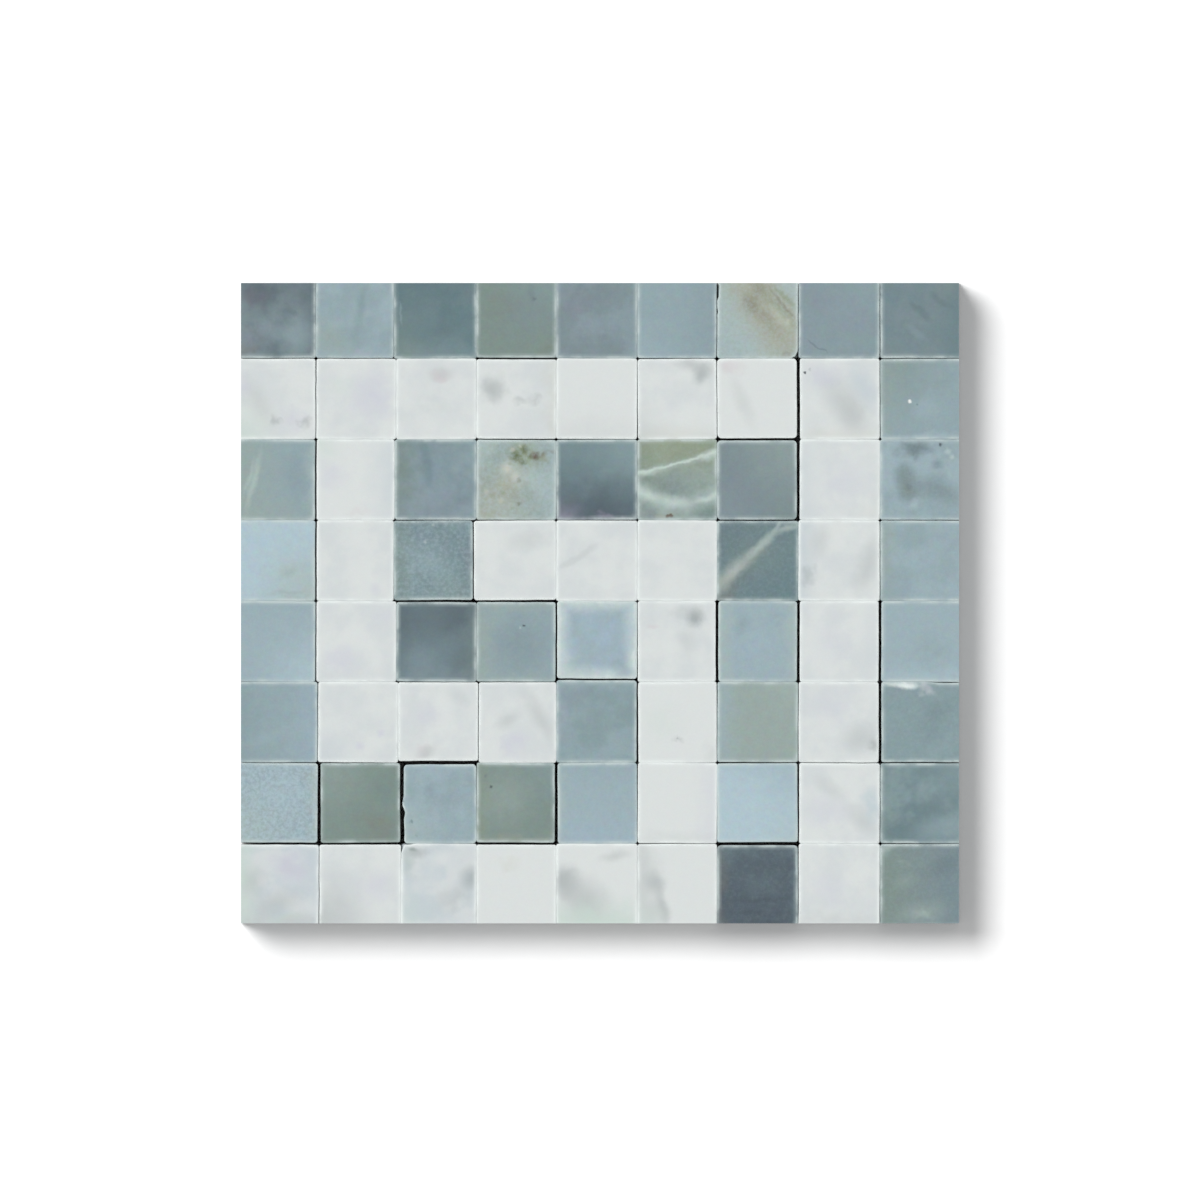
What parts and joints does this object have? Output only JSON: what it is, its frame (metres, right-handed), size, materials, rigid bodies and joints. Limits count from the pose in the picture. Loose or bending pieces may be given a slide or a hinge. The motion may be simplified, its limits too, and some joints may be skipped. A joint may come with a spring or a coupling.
{
  "type": "marble mosaic border corner tile",
  "caption": "Flat corner piece of a Greek-key mosaic border: square marble stones in white and blue-grey on a mesh backing, bedded flat where two border strips meet.",
  "frame": {"origin": "centre of the outline, on the underside of the mesh that the tile lies on", "axes": "+Z out of the polished face, +X to the right and +Y to the top as the picture shows the face; the border goes on to -X and to -Y"},
  "size_m": [0.135, 0.1204, 0.0099],
  "materials": {
    "white_marble": "polished face, sawn sides",
    "blue_grey_marble": "polished face, sawn sides",
    "glass_fibre_mesh": "coated glass-fibre yarn"
  },
  "bodies": {
    "root": {"blue_r1_c1_to_c9": "blue_grey_marble", "blue_r2_c9": "blue_grey_marble", "blue_r3_c1": "blue_grey_marble", "blue_r3_c3_to_c7": "blue_grey_marble", "blue_r3_c9": "blue_grey_marble", "blue_r4_c1": "blue_grey_marble", "blue_r4_c3": "blue_grey_marble", "blue_r4_c7": "blue_grey_marble", "blue_r4_c9": "blue_grey_marble", "blue_r5_c1": "blue_grey_marble", "blue_r5_c3_to_c5": "blue_grey_marble", "blue_r5_c7": "blue_grey_marble", "blue_r5_c9": "blue_grey_marble", "blue_r6_c1": "blue_grey_marble", "blue_r6_c5": "blue_grey_marble", "blue_r6_c7": "blue_grey_marble", "blue_r6_c9": "blue_grey_marble", "blue_r7_c1_to_c5": "blue_grey_marble", "blue_r7_c7": "blue_grey_marble", "blue_r7_c9": "blue_grey_marble", "blue_r8_c7": "blue_grey_marble", "blue_r8_c9": "blue_grey_marble", "glass_fibre_mesh": "glass_fibre_mesh", "white_r2_c1_to_c8": "white_marble", "white_r3_c2": "white_marble", "white_r3_c8": "white_marble", "white_r4_c2": "white_marble", "white_r4_c4_to_c6": "white_marble", "white_r4_c8": "white_marble", "white_r5_c2": "white_marble", "white_r5_c6": "white_marble", "white_r5_c8": "white_marble", "white_r6_c2_to_c4": "white_marble", "white_r6_c6": "white_marble", "white_r6_c8": "white_marble", "white_r7_c6": "white_marble", "white_r7_c8": "white_marble", "white_r8_c1_to_c6": "white_marble", "white_r8_c8": "white_marble"}
  },
  "joints": []
}
